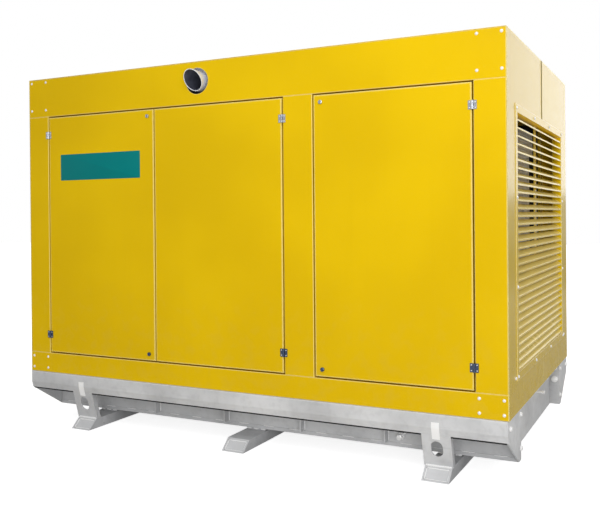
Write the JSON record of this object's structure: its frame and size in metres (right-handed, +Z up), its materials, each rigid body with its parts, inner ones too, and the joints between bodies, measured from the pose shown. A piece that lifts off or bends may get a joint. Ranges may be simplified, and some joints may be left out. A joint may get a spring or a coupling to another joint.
{
  "type": "enclosed diesel generator",
  "caption": "Enclosed diesel generator: folded sheet canopy with hinged service doors, louvred ends and an exhaust outlet, on a base tank with cross skids and lifting tabs.",
  "frame": {"origin": "centre of the middle skid's underside, on the ground under the middle of the canopy", "axes": "+X along the doors to the right, -Y out of the side with the jointed doors, +Z up"},
  "size_m": [3.006, 1.9622, 2.17],
  "materials": {
    "yellow_paint": "satin yellow paint",
    "grey_base": "light grey base",
    "zinc_hardware": "zinc plated",
    "foam_lining": "dark sound-absorbing foam",
    "stainless_steel": "stainless pipe",
    "black_collar": "black collar",
    "exhaust_steel": "dull aluminised steel",
    "engine_paint": "dark grey enamel",
    "alternator_paint": "mid grey enamel",
    "radiator_fins": "dull fins",
    "cabinet_paint": "light grey powder coat"
  },
  "bodies": {
    "canopy_and_base": {"alternator": "alternator_paint", "base_tank": "grey_base", "control_cabinet": "cabinet_paint", "engine": "engine_paint", "engine_bearers": "engine_paint", "exhaust_collar": "black_collar", "exhaust_outlet": "stainless_steel", "floor_deck": "grey_base", "front_bottom_sill": "yellow_paint", "front_centre_pillar": "yellow_paint", "front_hinge_leaves": "zinc_hardware", "front_left_lifting_tab": "grey_base", "front_left_post": "yellow_paint", "front_right_lifting_tab": "grey_base", "front_right_post": "yellow_paint", "front_side_rail": "grey_base", "front_top_fascia": "yellow_paint", "left_end_caps": "grey_base", "left_end_crossmember": "grey_base", "left_end_panels": "yellow_paint", "left_louvre_grille": "yellow_paint", "left_skid": "grey_base", "middle_skid": "grey_base", "radiator": "radiator_fins", "rear_bottom_sill": "yellow_paint", "rear_centre_pillar": "yellow_paint", "rear_door_hardware": "zinc_hardware", "rear_door_linings": "foam_lining", "rear_doors": "yellow_paint", "rear_left_lifting_tab": "grey_base", "rear_left_post": "yellow_paint", "rear_right_lifting_tab": "grey_base", "rear_right_post": "yellow_paint", "rear_side_rail": "grey_base", "rear_top_fascia": "yellow_paint", "right_end_caps": "grey_base", "right_end_crossmember": "grey_base", "right_end_panels": "yellow_paint", "right_louvre_grille": "yellow_paint", "right_skid": "grey_base", "roof_panels": "yellow_paint", "silencer": "exhaust_steel"},
    "left_leaf": {"left_door": "yellow_paint", "left_door_hardware": "zinc_hardware", "left_door_lining": "foam_lining"},
    "middle_leaf": {"middle_door": "yellow_paint", "middle_door_hardware": "zinc_hardware", "middle_door_lining": "foam_lining"},
    "right_leaf": {"right_door": "yellow_paint", "right_door_hardware": "zinc_hardware", "right_door_lining": "foam_lining"}
  },
  "joints": [
    {"name": "left_door_hinge", "type": "hinge", "parent": "canopy_and_base", "child": "left_leaf", "pos_m": [-1.338, -0.941, 1.19], "axis": [0, 0, -1], "range_deg": [0, 110]},
    {"name": "middle_door_hinge", "type": "hinge", "parent": "canopy_and_base", "child": "middle_leaf", "pos_m": [0.31804, -0.941, 1.19], "axis": [0, 0, 1], "range_deg": [0, 110]},
    {"name": "right_door_hinge", "type": "hinge", "parent": "canopy_and_base", "child": "right_leaf", "pos_m": [1.338, -0.941, 1.19], "axis": [0, 0, 1], "range_deg": [0, 110]}
  ]
}
